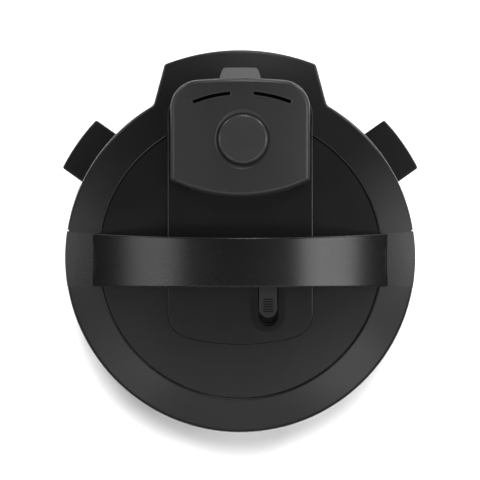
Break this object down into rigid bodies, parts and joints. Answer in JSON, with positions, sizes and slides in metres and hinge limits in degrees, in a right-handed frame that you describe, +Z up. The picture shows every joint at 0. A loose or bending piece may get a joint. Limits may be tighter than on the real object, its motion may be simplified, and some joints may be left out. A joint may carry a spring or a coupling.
{
  "type": "electric pressure cooker",
  "caption": "Round electric pressure cooker with a hinged domed lid, an arched band handle, a steam cover with a round release button, a sliding lid lock and side carry lugs.",
  "frame": {"origin": "on the axis of the cooking pot, at the level of the surface that the cooker stands on", "axes": "+Z up along the pot's axis, +Y towards the lid's hinge at the rear, +X to the right seen from the front"},
  "size_m": [0.3382, 0.3607, 0.326],
  "materials": {
    "black_plastic": "fine satin moulded black",
    "dark_plastic": "satin charcoal",
    "gloss_black": "smooth black",
    "button_plastic": "smooth charcoal",
    "inner_plastic": "plain moulded",
    "steel": "brushed",
    "spring_steel": "drawn wire",
    "screw_steel": "zinc plated",
    "cast_aluminium": "cast",
    "silicone": "translucent silicone",
    "red_silicone": "silicone",
    "window": "smoked",
    "board": "circuit board",
    "contact_brass": "plated",
    "clear_cup": "smoky translucent"
  },
  "bodies": {
    "base": {"inner_pot": "steel", "support_pot": "steel", "heating_plate": "cast_aluminium", "sensor_spring": "spring_steel", "pressure_switch": "inner_plastic", "thermal_fuse": "steel", "base_pan": "dark_plastic", "casing_screws": "screw_steel", "outer_housing": "black_plastic", "top_rim": "black_plastic", "rear_housing": "black_plastic", "power_inlet": "inner_plastic", "inlet_pins": "contact_brass", "hinge_bracket": "steel", "hinge_pin": "steel", "hinge_springs": "spring_steel", "left_carry_handle": "black_plastic", "right_carry_handle": "black_plastic", "control_panel": "gloss_black", "display_window": "window", "display_module": "inner_plastic", "control_board": "board", "power_board": "board"},
    "lid": {"lid_cover": "black_plastic", "top_disc": "black_plastic", "spine_panel": "black_plastic", "slider_bezel": "dark_plastic", "lid_liner": "inner_plastic", "lid_hinge_bracket": "inner_plastic", "lid_hinge_screws": "screw_steel", "pressure_plate": "steel", "sealing_ring": "silicone", "centre_stud": "steel", "steam_shield": "steel", "valve_tray": "inner_plastic", "steam_pipe": "steel", "lever_pin": "steel", "button_spring": "spring_steel", "handle_band": "gloss_black", "handle_core": "black_plastic", "handle_screws": "screw_steel"},
    "sensor": {"temperature_sensor": "cast_aluminium"},
    "drip_cup": {"condensation_cup": "clear_cup"},
    "lock": {"lock_ring": "steel", "lock_arm": "steel"},
    "lock_slider": {"slider": "dark_plastic", "lock_link": "steel"},
    "steam_release": {"steam_button": "button_plastic"},
    "release_rocker": {"release_lever": "inner_plastic"},
    "pressure_weight": {"valve_weight": "dark_plastic"},
    "float_pin": {"float_valve": "steel", "float_seal": "red_silicone"},
    "steam_cover": {"valve_cover": "dark_plastic"},
    "left_key_1": {"left_key_1": "button_plastic"},
    "left_key_2": {"left_key_2": "button_plastic"},
    "left_key_3": {"left_key_3": "button_plastic"},
    "right_key_1": {"right_key_1": "button_plastic"},
    "right_key_2": {"right_key_2": "button_plastic"},
    "right_key_3": {"right_key_3": "button_plastic"},
    "start_key": {"start_key": "button_plastic"}
  },
  "joints": [
    {"name": "lid_hinge", "type": "hinge", "parent": "base", "child": "lid", "pos_m": [0, 0.174, 0.234], "axis": [-1, 0, 0], "range_deg": [0, 80]},
    {"name": "lock_slide", "type": "slide", "parent": "lid", "child": "lock_slider", "axis": [0, -1, 0], "range_m": [0, 0.0085]},
    {"name": "lock_turn", "type": "hinge", "parent": "lid", "child": "lock", "pos_m": [0, 0, 0.24], "axis": [0, 0, -1], "range_deg": [0, 18.72]},
    {"name": "steam_button_press", "type": "slide", "parent": "lid", "child": "steam_release", "axis": [0, 0, -1], "range_m": [0, 0.0025], "stiffness_N_per_m": 900, "springref_m": -0.003, "deforming": ["button_spring"]},
    {"name": "rocker_tilt", "type": "hinge", "parent": "lid", "child": "release_rocker", "pos_m": [0.0026, 0.096, 0.2722], "axis": [-1, 0, 0], "range_deg": [0, 9.79]},
    {"name": "weight_lift", "type": "slide", "parent": "lid", "child": "pressure_weight", "axis": [0, 0, 1], "range_m": [0, 0.0022]},
    {"name": "float_rise", "type": "slide", "parent": "lid", "child": "float_pin", "axis": [0, 0, 1], "range_m": [0, 0.004]},
    {"name": "steam_cover_lift", "type": "slide", "parent": "lid", "child": "steam_cover", "axis": [0, 0, 1], "range_m": [0, 0.045]},
    {"name": "sensor_press", "type": "slide", "parent": "base", "child": "sensor", "axis": [0, 0, -1], "range_m": [0, 0.002], "stiffness_N_per_m": 800, "springref_m": -0.004, "deforming": ["sensor_spring"]},
    {"name": "drip_cup_pull", "type": "slide", "parent": "base", "child": "drip_cup", "axis": [0, 1, 0], "range_m": [0, 0.06]},
    {"name": "left_key_1_press", "type": "slide", "parent": "base", "child": "left_key_1", "axis": [0, 1, 0], "range_m": [0, 0.001], "stiffness_N_per_m": 1500, "springref_m": -0.001},
    {"name": "left_key_2_press", "type": "slide", "parent": "base", "child": "left_key_2", "axis": [0, 1, 0], "range_m": [0, 0.001], "stiffness_N_per_m": 1500, "springref_m": -0.001},
    {"name": "left_key_3_press", "type": "slide", "parent": "base", "child": "left_key_3", "axis": [0, 1, 0], "range_m": [0, 0.001], "stiffness_N_per_m": 1500, "springref_m": -0.001},
    {"name": "right_key_1_press", "type": "slide", "parent": "base", "child": "right_key_1", "axis": [0, 1, 0], "range_m": [0, 0.001], "stiffness_N_per_m": 1500, "springref_m": -0.001},
    {"name": "right_key_2_press", "type": "slide", "parent": "base", "child": "right_key_2", "axis": [0, 1, 0], "range_m": [0, 0.001], "stiffness_N_per_m": 1500, "springref_m": -0.001},
    {"name": "right_key_3_press", "type": "slide", "parent": "base", "child": "right_key_3", "axis": [0, 1, 0], "range_m": [0, 0.001], "stiffness_N_per_m": 1500, "springref_m": -0.001},
    {"name": "start_key_press", "type": "slide", "parent": "base", "child": "start_key", "axis": [0, 1, 0], "range_m": [0, 0.001], "stiffness_N_per_m": 1500, "springref_m": -0.001}
  ],
  "couplings": [
    {"joint": "lock_turn", "follows": "lock_slide", "rad_per_m": 38.337},
    {"joint": "rocker_tilt", "follows": "steam_button_press", "rad_per_m": 68.027},
    {"joint": "weight_lift", "follows": "steam_button_press", "ratio": 0.81633}
  ]
}
